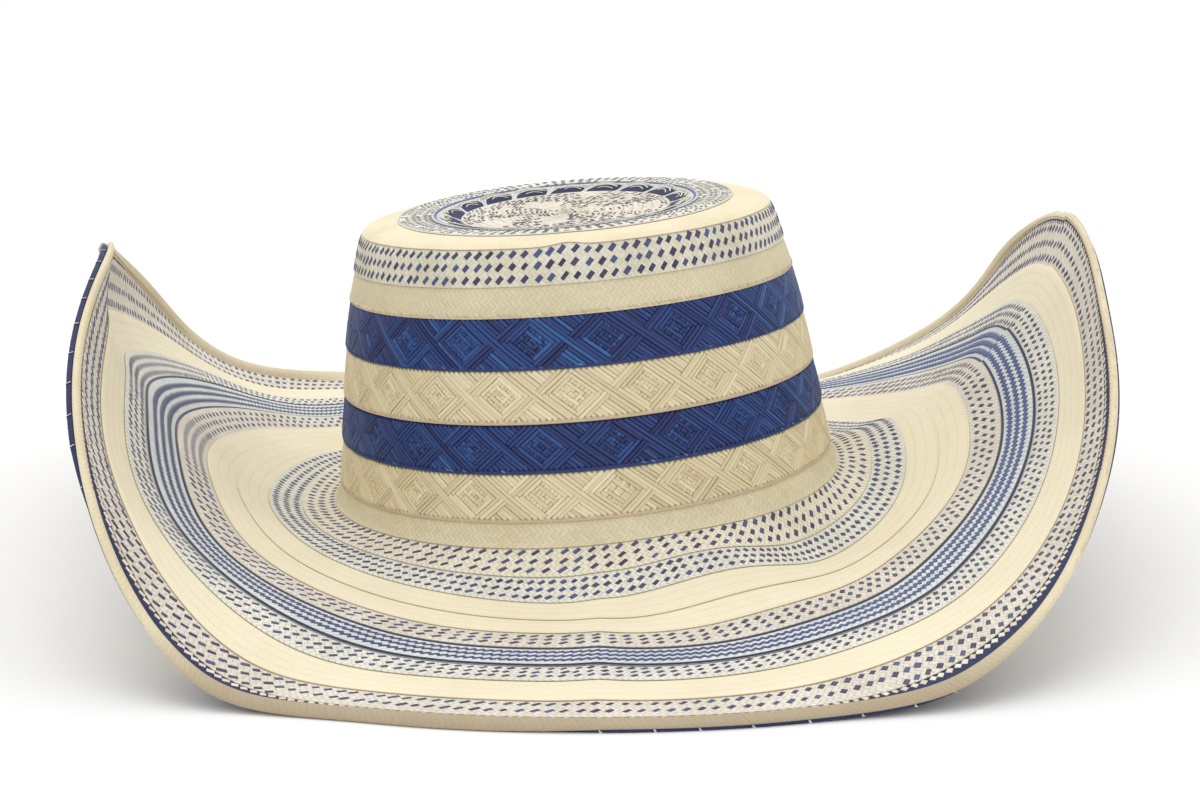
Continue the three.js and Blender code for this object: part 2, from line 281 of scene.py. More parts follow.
def plaited_cane(name, light, dark, seam_and_shade_colour, pitch, row, depth=0.08, crease=0.0, contrast=0.35, line=0.25,
                 creased=0.55):
    """Plaited cane leaf, dry and a little satin: slanted strands in rows that turn back on one another.

    pitch is from strand to strand along the plait and row the height of one row, both in millimetres. A real
    strand is taken to be 1 mm wide, and most are drawn wider, up to 1.7 mm, because finer ones don't show.
    contrast is how much strands differ in tone, and line how dark the gap between two of them is. crease is
    the spacing of the folds along the plait, none where it is 0, and creased how dark they are. Strands stray
    over about 8 mm, and tone changes softly over about 22 mm and from fibre to fibre over about 1 mm."""
    material, tree, shader = new_finish(name, 0.62, 0.3)
    uv = add(tree, "ShaderNodeUVMap", {}, uv_map="laid")
    run = add(tree, "ShaderNodeSeparateXYZ", {0: uv})
    fold = add(tree, "ShaderNodeMath", {0: run.outputs[1], 1: row}, operation="PINGPONG")
    place = add(tree, "ShaderNodeTexCoord", {}).outputs["Object"]
    uneven = add(tree, "ShaderNodeTexNoise", {"Vector": place, "Scale": 130.0, "Detail": 2.0})
    shifted = add(tree, "ShaderNodeMath", {0: uneven, 1: 0.9 * pitch, 2: run}, operation="MULTIPLY_ADD")
    slant = add(tree, "ShaderNodeMath", {0: shifted, 1: fold}, operation="ADD")
    phase = add(tree, "ShaderNodeMath", {0: slant, 1: 2 * np.pi / pitch}, operation="MULTIPLY")
    wave = add(tree, "ShaderNodeMath", {0: phase}, operation="SINE")
    strand = add(tree, "ShaderNodeMath", {0: slant, 1: pitch}, operation="DIVIDE")
    strand = add(tree, "ShaderNodeMath", {0: strand, 1: 0.25}, operation="SUBTRACT")
    strand = add(tree, "ShaderNodeMath", {0: strand}, operation="ROUND")
    row_number = add(tree, "ShaderNodeMath", {0: run.outputs[1], 1: row}, operation="DIVIDE")
    row_number = add(tree, "ShaderNodeMath", {0: row_number}, operation="FLOOR")
    key = add(tree, "ShaderNodeCombineXYZ", {0: strand, 1: row_number})
    each = add(tree, "ShaderNodeTexWhiteNoise", {"Vector": key}, noise_dimensions="2D")
    patches = add(tree, "ShaderNodeTexNoise", {"Vector": place, "Scale": 45.0, "Detail": 3.0})
    fibre = add(tree, "ShaderNodeTexNoise", {"Vector": place, "Scale": 900.0, "Detail": 2.0})
    tone = add(tree, "ShaderNodeMath", {0: each, 1: contrast, 2: -0.5 * contrast}, operation="MULTIPLY_ADD")
    tone = add(tree, "ShaderNodeMath", {0: patches, 1: 1.0, 2: tone}, operation="MULTIPLY_ADD")
    tone = add(tree, "ShaderNodeMath", {0: fibre, 1: 0.3, 2: tone}, operation="MULTIPLY_ADD")
    tone = add(tree, "ShaderNodeMapRange", {0: tone, 1: 0.35, 2: 0.95, 3: 0.0, 4: 1.0})
    colour = add(tree, "ShaderNodeMix", {0: tone, 6: linear(light), 7: linear(dark)}, data_type="RGBA")
    # The gap between strands is darkened towards the seam colour: painted shade between strands, which on the
    # striped plait also gives its dyed stripes.
    between = add(tree, "ShaderNodeMapRange", {0: wave, 1: -0.55, 2: -1.0, 3: 0.0, 4: line})
    colour = add(tree, "ShaderNodeMix", {0: between, 6: colour.outputs[2], 7: linear(seam_and_shade_colour)},
                 data_type="RGBA")
    height = wave
    if crease:
        fold_line = add(tree, "ShaderNodeMath", {0: run.outputs[1], 1: crease / 2}, operation="PINGPONG")
        fold_line = add(tree, "ShaderNodeMapRange", {0: fold_line, 1: 0.28, 2: 0.05, 3: 0.0, 4: 1.0})
        # The folds are darkened along their lines: painted shade in the creases.
        fold_shade = add(tree, "ShaderNodeMath", {0: fold_line, 1: creased}, operation="MULTIPLY")
        colour = add(tree, "ShaderNodeMix", {0: fold_shade, 6: colour.outputs[2], 7: linear(seam_and_shade_colour)},
                     data_type="RGBA")
        height = add(tree, "ShaderNodeMath", {0: fold_line, 1: -3.0, 2: wave}, operation="MULTIPLY_ADD")
    # Corners that the mesh marks are darkened towards the seam colour: seam lines with painted shadow under a
    # lap, and painted shade on the binding.
    seam_line_and_shade_value = add(tree, "ShaderNodeAttribute", {}, attribute_name="seam_line_and_shade")
    colour = add(tree, "ShaderNodeMix", {0: seam_line_and_shade_value.outputs["Fac"], 6: colour.outputs[2], 7: linear(seam_and_shade_colour)},
                 data_type="RGBA")
    bump = add(tree, "ShaderNodeBump", {"Height": height, "Distance": depth / 2000, "Strength": 1.0})
    tree.links.new(colour.outputs[2], shader.inputs["Base Color"])
    tree.links.new(bump.outputs[0], shader.inputs["Normal"])
    return material


def dyed_cane(name, tones, roughness=0.5):
    """Single strands of split cane leaf, natural or dyed: each takes its own tone from the list.

    The leaf's smooth skin gives them a soft sheen, a little broken by its fibres. These are drawn about
    1.5 mm apart, coarser than real ones, so that they show."""
    material, tree, shader = new_finish(name, roughness, 0.45)
    tone = add(tree, "ShaderNodeAttribute", {}, attribute_name="tone")
    place = add(tree, "ShaderNodeTexCoord", {}).outputs["Object"]
    fibre = add(tree, "ShaderNodeTexNoise", {"Vector": place, "Scale": 700.0, "Detail": 3.0})
    mixed = add(tree, "ShaderNodeMath", {0: fibre, 1: 0.3, 2: -0.15}, operation="MULTIPLY_ADD")
    mixed = add(tree, "ShaderNodeMath", {0: tone.outputs["Fac"], 1: mixed}, operation="ADD")
    ramp = add(tree, "ShaderNodeValToRGB", {0: mixed})
    stops = ramp.color_ramp.elements
    while len(stops) < len(tones):
        stops.new(0.5)
    for k, hex_colour in enumerate(tones):
        stops[k].position = k / (len(tones) - 1)
        stops[k].color = linear(hex_colour)
    bump = add(tree, "ShaderNodeBump", {"Height": fibre, "Distance": 0.00006, "Strength": 0.8})
    tree.links.new(ramp.outputs[0], shader.inputs["Base Color"])
    tree.links.new(bump.outputs[0], shader.inputs["Normal"])
    return material


def new_piece(name, mesh):
    piece = bpy.data.objects.new(name, mesh)
    bpy.context.scene.collection.objects.link(piece)
    return piece


def sewn(piece, node=None):
    """Sews a finished piece to the hat's one body, in place of the solid that it dresses if there is one."""
    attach(piece, "root")
    if node:
        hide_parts(node)


def sewn_wall(name, node, finish, sections, runs, across, seam_line_and_shade=0.0, closed=True):
    """One turn made of sections[bearing, corner], joined round the hat, with its own map in millimetres.

    A closed section is a loop. An open one runs from the hat's centre out over the top and back beneath.
    Corners can be darkened towards the finish's seam colour, from 0 to 1: at a lap's edge this is the seam
    line with painted shadow under the lip, and on the binding it is painted shade."""
    bearings, corners, _ = sections.shape
    vertices = list(map(tuple, sections.reshape(-1, 3) / 1000))
    faces = []
    run_of = []
    last = corners if closed else corners - 1
    for i in range(bearings):
        j = (i + 1) % bearings
        for c in range(last):
            d = (c + 1) % corners
            faces.append((i * corners + c, i * corners + d, j * corners + d, j * corners + c))
            run_of.extend([(runs[i], across[c]), (runs[i], across[d]), (runs[i + 1], across[d]),
                           (runs[i + 1], across[c])])
    if not closed:
        for c, height in ((0, 1), (corners - 1, -1)):
            centre = len(vertices)
            vertices.append(tuple(sections[:, c].mean(axis=0) / 1000))
            for i in range(bearings):
                j = (i + 1) % bearings
                first, second = (i, j) if height > 0 else (j, i)
                faces.append((centre, first * corners + c, second * corners + c))
                run_of.extend([(runs[i], 0.0), (runs[i], across[c]), (runs[i + 1], across[c])])
    mesh = bpy.data.meshes.new(name)
    mesh.from_pydata(vertices, [], faces)
    mesh.uv_layers.new(name="laid").data.foreach_set("uv", np.array(run_of, dtype=np.float32).ravel())
    mark = mesh.attributes.new("seam_line_and_shade", "FLOAT", "POINT")
    values = np.zeros(len(vertices), dtype=np.float32)
    values[:bearings * corners] = np.broadcast_to(seam_line_and_shade, (bearings, corners)).ravel()
    mark.data.foreach_set("value", values)
    mesh.materials.append(finish)
    mesh.shade_smooth()
    mesh.set_sharp_from_angle(angle=np.radians(42))
    sewn(new_piece(name, mesh), node)


# How far a turn laps the next one out, half the straw's thickness, and the distance between soft folds.
lap = 0.5
half_straw = 0.8
fold_spacing = 4.6


def lapped_turn(name, node, finish, pitch, base=0.4, rise=0.5, folds=0.0):
    """One turn of plait: its outer edge lies over the next turn, its inner edge lies under the last one.

    base is the lift of its face at the inner edge, rise how much higher the outer edge is, and folds the
    height of the soft folds along it."""
    inner, outer = turn_edges[node]
    width = outer - inner
    top = np.linspace(0.0, 1.0, 8)
    along = list(inner + top * (width + lap))
    lift = list(top_of_turn(top, base, rise))
    edge = lift[-1]
    along += [outer + lap + 0.13, outer + lap + 0.13, outer + lap, outer - 0.1, outer - 0.15, outer - 0.4]
    lift += [edge - 0.12, edge - 0.33, edge - 0.45, edge - 0.47, -0.74, -half_straw]
    along += [(inner + outer) / 2, inner + 0.4, inner + 0.12, inner + 0.02]
    lift += [-half_straw, -half_straw, -0.7, base - 0.2]
    seam_line_and_shade = np.zeros(len(along))
    # The lip's outer face and its underside are darkened: the seam line, with painted shadow under the lip.
    seam_line_and_shade[8:12] = (0.15, 0.8, 1.0, 1.0)
    along = np.array(along)
    lift = np.array(lift)
    lift[:11] += folds * np.sin(2 * np.pi * (along[:11] - inner) / fold_spacing)
    length, bearing_at = one_round((inner + outer) / 2)
    runs = np.linspace(0.0, length, 481)
    sections, _ = on_form(bearing_at(runs[:-1])[:, None], along, lift)
    repeats = max(1, round(length / pitch))
    sewn_wall(name, node, finish, sections, runs * repeats * pitch / length, along - inner, seam_line_and_shade)


def top_of_turn(share, base=0.4, rise=0.5):
    """Lift of a turn's face where this share of its width is crossed."""
    return base + rise * share + 0.12 * np.sin(np.pi * np.clip(share, 0.0, 1.0))


def strand_tree():
    """Geometry Nodes: sweeps a flat strand of cane leaf along every laid path, face up off the straw."""
    tree = bpy.data.node_groups.new("laid_strands", "GeometryNodeTree")
    sockets = [("Paths", "Geometry"), ("Strand width", "Float"), ("Strand thickness", "Float"),
               ("Flat top share", "Float"), ("Finish", "Material")]
    for label, kind in sockets:
        tree.interface.new_socket(label, in_out="INPUT", socket_type="NodeSocket" + kind)
    tree.interface.new_socket("Strands", in_out="OUTPUT", socket_type="NodeSocketGeometry")
    given = add(tree, "NodeGroupInput", {}).outputs
    away = add(tree, "GeometryNodeInputNamedAttribute", {"Name": "away"}, data_type="FLOAT_VECTOR")
    size = add(tree, "GeometryNodeInputNamedAttribute", {"Name": "size"}, data_type="FLOAT")
    tangent = add(tree, "GeometryNodeInputTangent", {})
    beside = add(tree, "ShaderNodeVectorMath", {0: away, 1: tangent}, operation="CROSS_PRODUCT")
    top_width = add(tree, "ShaderNodeMath", {0: given["Strand width"], 1: given["Flat top share"]},
                    operation="MULTIPLY")
    outline = add(tree, "GeometryNodeCurvePrimitiveQuadrilateral",
                  {"Bottom Width": given["Strand width"], "Top Width": top_width,
                   "Height": given["Strand thickness"], "Offset": 0.0}, mode="TRAPEZOID")
    curve = add(tree, "GeometryNodeMeshToCurve", {0: given["Paths"]})
    curve = add(tree, "GeometryNodeSetCurveNormal", {"Curve": curve, "Normal": beside}, mode="FREE")
    swept = add(tree, "GeometryNodeCurveToMesh",
                {"Curve": curve, "Profile Curve": outline, "Scale": size, "Fill Caps": True})
    flat = add(tree, "GeometryNodeSetShadeSmooth", {"Geometry": swept, "Shade Smooth": False})
    real = add(tree, "GeometryNodeRealizeInstances", {0: flat})
    done = add(tree, "GeometryNodeSetMaterial", {"Geometry": real, "Material": given["Finish"]})
    add(tree, "NodeGroupOutput", {0: done})
    return tree


laid_strands = strand_tree()


def strands(name, paths, width, thickness, finish, side=1, flat_top=0.7, closed=False):
    """Strands laid on the form. Each path is (bearings, distances along, lifts, tone, size).

    width and thickness are a strand's, in millimetres, and side is -1 where they lie beneath the straw."""
    counts = [len(path[0]) for path in paths]
    columns = zip(*(np.broadcast_arrays(*path) for path in paths))
    turn, along, lift, tone, size = [np.concatenate(column) for column in columns]
    points, away = on_form(turn, along, lift)
    edges = []
    first = 0
    for count in counts:
        edges.extend((first + k, first + k + 1) for k in range(count - 1))
        if closed:
            edges.append((first + count - 1, first))
        first += count
    mesh = bpy.data.meshes.new(name)
    mesh.from_pydata(list(map(tuple, points / 1000)), edges, [])
    away_mark = mesh.attributes.new("away", "FLOAT_VECTOR", "POINT")
    away_mark.data.foreach_set("vector", (away * side).astype(np.float32).ravel())
    for label, values in (("tone", tone), ("size", size)):
        mark = mesh.attributes.new(label, "FLOAT", "POINT")
        mark.data.foreach_set("value", values.astype(np.float32))
    piece = new_piece(name, mesh)
    sweep = piece.modifiers.new("laid_strands", "NODES")
    sweep.node_group = laid_strands
    sockets = [item for item in laid_strands.interface.items_tree if item.in_out == "INPUT"]
    given = {item.name: item.identifier for item in sockets}
    sweep[given["Strand width"]] = width / 1000
    sweep[given["Strand thickness"]] = thickness / 1000
    sweep[given["Flat top share"]] = flat_top
    sweep[given["Finish"]] = finish
    made = piece.evaluated_get(bpy.context.evaluated_depsgraph_get())
    plain = bpy.data.meshes.new_from_object(made)
    piece.modifiers.clear()
    piece.data = plain
    sewn(piece)


chance = np.random.default_rng(7)
star_outer = turn_edges["crown_star"][1]
star_cane = plaited_cane("cane_plait_star", "#ece5d6", "#d3c9b5", "#8a8068", 2.0, 1.6, crease=3.9,
                         contrast=0.5)


def pucker(turn, along):
    """The centre is drawn up by its sewing: low lobes, and one ridge from the middle to the back."""
    fading = np.clip(along / 10, 0, 1) * np.clip((38 - along) / 12, 0, 1)
    lobes = 0.4 * np.sin(2 * np.pi * 8 * turn) * fading
    aside = along * np.sin(2 * np.pi * (turn - 0.24))
    behind = np.clip(np.sin(2 * np.pi * turn) + 0.6, 0, 1) * np.clip((star_outer - along) / 8, 0, 1)
    return lobes + 1.1 * np.exp(-(aside / 2.6) ** 2) * behind


along = np.concatenate([np.linspace(1.2, star_outer + lap, 16), np.linspace(star_outer - 0.2, 1.2, 6)])
lift = np.concatenate([0.5 + 0.7 * np.linspace(0, 1, 16), np.full(6, -half_straw)])
star_length, star_bearing = one_round(star_outer / 2)
runs = np.linspace(0.0, star_length, 361)
turns = star_bearing(runs[:-1])[:, None]
sections, _ = on_form(turns, along, lift + pucker(turns, along) * (lift > 0))
star_map = runs * round(star_length / 2.0) * 2.0 / star_length
sewn_wall("crown_star_plait", "crown_star", star_cane, sections, star_map, along, closed=False)

fleck_cane = dyed_cane("dyed_cane_flecks", ["#2d2b42", "#45435c", "#65616c"])
fleck_rings = 1.75
fleck_spacing = 3.3
flecks = []
for ring in np.arange(4.0, star_outer - 0.6, fleck_rings):
    count = int(2 * np.pi * ring / fleck_spacing)
    between = 0.5 * (ring % (2 * fleck_rings) > 1.7)
    for k in range(count):
        bearing = (k + between + 0.12 * chance.standard_normal()) / count
        bare = np.sin(2 * np.pi * (3 * bearing + 0.013 * ring))
        bare += np.sin(2 * np.pi * (5 * bearing - 0.02 * ring))
        if chance.random() < 0.3 or bare > 0.3 + ring / 50:
            continue
        reach = (0.75 + 0.15 * chance.standard_normal()) / (2 * np.pi * ring)
        turn = np.array([bearing - reach, bearing + reach])
        slant = ring + 0.2 * chance.standard_normal() + np.array([0.3, -0.3])
        rise = 0.58 + 0.7 * slant / star_outer + pucker(turn, slant)
        flecks.append((turn, slant, rise, chance.random(), 0.8 + 0.4 * chance.random()))
strands("crown_star_flecks", flecks, 0.75, 0.14, fleck_cane)


# Petal ring: a turn of pale striped plait with eighteen leaves of solid navy cane sewn on it, and one narrow
# blue strand all round outside them.
petal_inner, petal_outer = turn_edges["crown_petal_ring"]
petal_ground = plaited_cane("cane_plait_striped", "#e3e5de", "#cfd2cc", "#4c5474", 1.5, 40.0, line=0.75)
lapped_turn("crown_petal_plait", "crown_petal_ring", petal_ground, 1.5)

petal_cane = plaited_cane("dyed_cane_petals", "#363f6c", "#252b52", "#151a38", 1.1, 30.0, depth=0.2)
petal_count = 18
petal_base = petal_outer - 3.4
petal_tip = petal_inner + 0.7
rows, columns = 9, 7
petals = np.arange(petal_count)[:, None, None]
share = np.linspace(0.0, 1.0, rows)[:, None]
aside = np.linspace(-1.0, 1.0, columns)
distance = petal_base + (petal_tip - petal_base) * share
half = (0.30 + 0.13 * np.sin(np.pi * (0.05 + 0.8 * share))) / petal_count
turn = (petals + 0.5) / petal_count + half * aside + 0.014 * (share - 0.5)
dome = 0.35 * (1 - aside ** 2) * np.sin(np.pi * np.minimum(0.75 * share + 0.22, 1.0))
face = top_of_turn((distance - petal_inner) / (petal_outer - petal_inner))
points, _ = on_form(turn[:, None], distance, np.stack([face + 0.1 + dome, face - 0.05 + 0 * dome]))
laid = np.empty(points.shape[:-1] + (2,))
laid[..., 0] = (half * aside * 2 * np.pi * distance + 7.0 * petals)[:, None]
laid[..., 1] = 15 * share
# A petal's upper face, its lower face and the rim between them.
grid = np.arange(rows * columns).reshape(rows, columns)
upper = np.stack([grid[:-1, 1:], grid[1:, 1:], grid[1:, :-1], grid[:-1, :-1]], axis=-1).reshape(-1, 4)
rim = np.concatenate([grid[0], grid[1:, -1], grid[-1, -2::-1], grid[-2:0:-1, 0]])
after = np.roll(rim, -1)
edge = np.stack([after, after + grid.size, rim + grid.size, rim], axis=-1)
faces = np.concatenate([upper, upper[:, ::-1] + grid.size, edge]) + 2 * grid.size * petals
mesh = bpy.data.meshes.new("crown_petals")
mesh.from_pydata((points.reshape(-1, 3) / 1000).tolist(), [], faces.reshape(-1, 4).tolist())
corner_of = np.zeros(len(mesh.loops), dtype=np.int32)
mesh.loops.foreach_get("vertex_index", corner_of)
petal_map = mesh.uv_layers.new(name="laid")
petal_map.data.foreach_set("uv", laid.reshape(-1, 2)[corner_of].astype(np.float32).ravel())
mesh.materials.append(petal_cane)
mesh.shade_smooth()
mesh.set_sharp_from_angle(angle=np.radians(40))
sewn(new_piece("crown_petals", mesh))

natural_cane = dyed_cane("split_cane_cream", ["#cfc6b0", "#ddd6c4", "#eae5d6"])
arcs = []
for petal in range(petal_count):
    middle = (petal + 0.5 + 0.06 * chance.standard_normal()) / petal_count
    for k in range(3):
        turn = middle + np.linspace(-0.48 + 0.1 * k, 0.42 - 0.12 * k, 7) / petal_count
        rising = np.sin(np.linspace(0.15, 2.6, 7))
        distance = petal_base - 0.9 - 1.3 * k + (2.0 + 0.3 * chance.standard_normal()) * rising
        lift = top_of_turn((distance - petal_inner) / (petal_outer - petal_inner)) + 0.5 + 0.1 * rising
        arcs.append((turn, distance, lift, chance.random(), 1.0 - 0.15 * k))
strands("crown_petal_arcs", arcs, 0.6, 0.2, natural_cane)

petal_line_cane = dyed_cane("dyed_cane_slate_blue", ["#454a80", "#565b90", "#686ea0"])
ring_turns = np.linspace(0, 1, 361)[:-1]
worn_thin = np.clip(0.9 + 1.5 * np.sin(2 * np.pi * ring_turns), 0.25, 1.0)
line = (ring_turns, petal_outer - 0.5, top_of_turn(0.95) - 0.05 + 0.15 * worn_thin, 0.5, worn_thin)
strands("crown_petal_line", [line], 1.1, 0.3, petal_line_cane, closed=True)


# Speckle ring: a turn of greyish plait with rows of small blue checks, creased where its plaits meet.
# A check is one dyed strand that crosses over the natural ones, so it lies a little proud.
def checks(node, rows, pitch, length, slant, side=1, rise=0.5, skip=0.0, gathered=0.0):
    """Paths of the dyed strands that show as checks, in straight columns across the turn.
"""
    inner, outer = turn_edges[node]
    width = outer - inner
    round_length, bearing_at = one_round((inner + outer) / 2)
    columns = round(round_length / pitch)
    angle = np.radians(slant)
    paths = []
    for share in rows:
        for k in range(columns):
            if chance.random() < skip:
                continue
            run = (k + 0.5) * round_length / columns + 0.05 * pitch * chance.standard_normal()
            reach = 0.5 * length * (1 + 0.1 * chance.standard_normal())
            ends = np.array([-reach, reach])
            along = inner + share * width - ends * np.sin(angle) + 0.07 * chance.standard_normal()
            lift = -half_straw - 0.04
            if side > 0:
                lift = top_of_turn((along - inner) / width, rise=rise) + 0.03
            turn = bearing_at(run + ends * np.cos(angle))
            along = inner + (along - inner) / (1 - gathered * drawn_in(turn) / width)
            if along.max() > outer + 0.3:
                continue
            paths.append((turn, along, lift, chance.random(), 1 + 0.08 * chance.standard_normal()))
    return paths


speckle_plaits = 3
speckle_inner, speckle_outer = turn_edges["crown_speckle_ring"]
speckle_cane = plaited_cane("cane_plait_speckled", "#eeeade", "#dad6c9", "#78755c", 2.0, 1.4,
                            crease=(speckle_outer - speckle_inner) / speckle_plaits)
lapped_turn("crown_speckle_plait", "crown_speckle_ring", speckle_cane, 2.0)
rows = np.add.outer(np.arange(speckle_plaits), (0.34, 0.74)).ravel() / speckle_plaits
speckle_checks = checks("crown_speckle_ring", rows, 3.2, 1.5, 35, skip=0.1)
pale_check_cane = dyed_cane("dyed_cane_pale_checks", ["#34364a", "#4a4d5c", "#66685f"])
strands("crown_speckle_checks", speckle_checks, 0.95, 0.14, pale_check_cane)


# Top ring: the last turn on the crown's top, plain cream cane leaf with fine folds along it.
top_ring_cane = plaited_cane("cane_plait_cream_top", "#f0e5c8", "#e2d4b0", "#6f5836", 1.9, 1.7, depth=0.03,
                             contrast=0.12, line=0.06)
lapped_turn("crown_top_plait", "crown_top_ring", top_ring_cane, 1.9, folds=0.16)


# Shoulder: one turn of cream plait with three rows of dyed checks, bent over the edge of the block.
check_ground = plaited_cane("cane_plait_check_ground", "#e5e0cf", "#cfc9b2", "#857a58", 1.9, 1.3)
lapped_turn("crown_shoulder_plait", "crown_shoulder_check_strip", check_ground, 1.9)
shoulder_checks = checks("crown_shoulder_check_strip", (0.21, 0.54, 0.87), 3.8, 2.6, 50)
check_cane = dyed_cane("dyed_cane_checks", ["#33304a", "#3f3b60", "#463f5c", "#484f7a", "#435a7a"])
strands("crown_shoulder_checks", shoulder_checks, 1.65, 0.2, check_cane)


# Plain turn under the shoulder: cream plait in close herringbone rows, its lower edge lapping the blue band.
plain_cane = plaited_cane("cane_plait_cream_wall", "#e0d6b6", "#d2c7a6", "#94845a", 1.9, 1.7, depth=0.1,
                          contrast=0.25, line=0.2)
lapped_turn("crown_plain_plait", "crown_plain_strip", plain_cane, 1.9)


twist_spacing = 1.5
twist_length = 1.25


def edge_twist(name, node, finish, bright=1.0, base=0.4, rise=0.5):
    """The stitches along a turn's outer edge: short strands, each slanting over the next like a cord.

    The higher bright is, the fewer of them are of the lightest tone."""
    outer = turn_edges[node][1]
    round_length, bearing_at = one_round(outer)
    count = round(round_length / twist_spacing)
    lift = top_of_turn(1.0, base, rise) + 0.08
    paths = []
    for k in range(count):
        run = (k + 0.1 * chance.standard_normal()) * round_length / count
        along = outer + lap + np.array([-1.1, -0.45]) + 0.05 * chance.standard_normal()
        turn = bearing_at(run + np.array([0.0, twist_length]))
        paths.append((turn, along, lift, chance.random() ** bright, 1 + 0.15 * chance.standard_normal()))
    strands(name, paths, 0.55, 0.3, finish)


cream_twist_cane = dyed_cane("split_cane_edge_cream", ["#c4ad90", "#d2bfa2", "#e0d2b8"])
edge_twist("crown_plain_edge", "crown_plain_strip", cream_twist_cane)


# Four broad bands of raised diamonds, two of blue-dyed cane and two natural. Flat strands cross at a slant:
# within a diamond they turn round its centre, and pairs of strands run across one another between diamonds.
# Each length of strand that shows is laid as its own piece, between the places where it passes under.
strand_width = 1.18
strand_slant = np.radians(40.0)
across_diamond = 12
band_base = 0.2
band_rise = 0.62


def diamond_paths(node):
    """Paths of the lengths of strand that show on one band, and a strand's exact width on it."""
    inner, outer = turn_edges[node]
    # The weave starts 0.45 mm past the lap of the turn above, so that a strip of the dark ground shows there
    # as a painted shadow line.
    upper, lower = inner + lap + 0.45, outer - 0.45
    middle = (upper + lower) / 2
    half = (lower - upper) / 2
    round_length, bearing_at = one_round(middle)
    sin, cos = np.sin(strand_slant), np.cos(strand_slant)
    diamonds = round(round_length * sin / (strand_width * across_diamond))
    strand = round_length * sin / (diamonds * across_diamond)
    cells = diamonds * across_diamond

    def shows_up_strand(i, j):
        """Whether the strand that climbs to the right is the one on top where it crosses the other."""
        climbing_pair = 5 <= i % across_diamond < 7
        falling_pair = 5 <= j % across_diamond < 7
        if climbing_pair and falling_pair:
            return (i // across_diamond + j // across_diamond) % 2 == 0
        if climbing_pair or falling_pair:
            return climbing_pair
        k = round((j - i) / (2 * across_diamond))
        a = i + 0.5 + k * across_diamond
        b = j + 0.5 - k * across_diamond
        ring = int(max(abs(a), abs(b)))
        if ring >= 5:
            return False
        if ring == 2 or (ring == 0 and a > 0):
            return (i + j) % 2 == 0
        return abs(a) > abs(b)

    limit = int(half * cos * 2 / strand) + 2
    lengths = []
    for climbing in (True, False):
        for own in range(cells):
            start = None
            for other in range(-own - limit, -own + limit + 2):
                i, j = (own, other) if climbing else (other, own)
                inside = abs((i + j + 1) * strand / (2 * cos)) < half
                on_top = inside and shows_up_strand(i, j) == climbing
                if on_top and start is None:
                    start = other
                if not on_top and start is not None:
                    lengths.append((climbing, own, start, other))
                    start = None
    tone_of = 0.5 + 0.2 * chance.standard_normal((2, cells))
    place_of = 0.5 + 0.05 * chance.standard_normal((2, cells))
    laid = []
    for climbing, own, low, high in lengths:
        between = np.linspace(low + 0.35, high - 0.35, 2 + (high - low) // 4)
        moving = np.concatenate([[low + 0.02], between, [high - 0.02]])
        stray = 0.09 * chance.standard_normal() * np.linspace(-0.5, 0.5, len(moving))
        still = own + place_of[int(climbing), own] + stray
        a, b = (still, moving) if climbing else (moving, still)
        x = (b - a) * strand / (2 * sin)
        y = (a + b) * strand / (2 * cos)
        along = np.clip(middle - y, upper - 0.2, lower + 0.3)
        lift = top_of_turn((along - inner) / (outer - inner), band_base, band_rise) + 0.27
        lift[1:-1] += 0.03 * chance.standard_normal()
        lift[[0, -1]] -= 0.24
        tone = tone_of[int(climbing), own] + 0.12 * chance.standard_normal() + 0.12 * np.sin(x[0] / 17)
        size = 1 + 0.05 * chance.standard_normal()
        laid.append((bearing_at(x), along, lift, np.clip(tone, 0.0, 1.0), size))
    return laid, strand


# The grounds are drawn darker than their strands: where a ground shows, under the lap of the turn above and
# in the gaps between strands, it is painted shadow.
shaded_blue_ground = plaited_cane("dyed_cane_plait_ground_painted_shade", "#18264c", "#121c3c", "#0a0f22", 2.4, 40.0)
shaded_cream_ground = plaited_cane("cane_plait_band_ground_painted_shade", "#b8a980", "#a99a70", "#75684a", 2.4, 40.0)
blue_band_cane = dyed_cane("dyed_cane_blue", ["#1a2257", "#1d2f66", "#213c77", "#254784", "#2f5f97"])
cream_band_cane = dyed_cane("split_cane_natural", ["#d2c39f", "#ddcfab", "#e3d6b3", "#ede1c3"],
                            roughness=0.6)
blue_twist_cane = dyed_cane("dyed_cane_edge_blue", ["#1d2f66", "#233e78", "#6f8fbc"])
# Each kind's slot, ground, strands, edge stitches, strand thickness, and how rare its light stitches are.
blue_band = ("blue_straw", shaded_blue_ground, blue_band_cane, blue_twist_cane, 0.32, 4.0)
cream_band = ("cream_straw", shaded_cream_ground, cream_band_cane, cream_twist_cane, 0.24, 1.0)
bands = {
    "crown_blue_band_upper": blue_band,
    "crown_cream_band_upper": cream_band,
    "crown_blue_band_lower": blue_band,
    "crown_cream_band_lower": cream_band,
}
for node, (slot, ground, cane, twist_cane, thickness, bright) in bands.items():
    lapped_turn(node + "_backing", node, ground, 2.4, band_base, band_rise)
    laid, strand = diamond_paths(node)
    strands(node + "_weave", laid, strand * 0.97, thickness, cane, flat_top=0.78)
    edge_twist(node + "_edge", node, twist_cane, bright, band_base, band_rise)
    edge_at = turn_edges[node][1] + lap - 0.35
    edging = (ring_turns, edge_at, top_of_turn(1.0, band_base, band_rise), 0.35, 1.0)
    strands(node + "_edging", [edging], 1.1, 0.24, twist_cane, closed=True)


# Foot strip: plain cream plait that turns from the crown's wall out on to the brim.
foot_cane = plaited_cane("cane_plait_cream_foot", "#e4dabb", "#d4c8a6", "#5f4a2a", 1.9, 1.7, depth=0.12,
                         contrast=0.3, line=0.16)
lapped_turn("crown_foot_plait", "crown_foot_strip", foot_cane, 1.9)


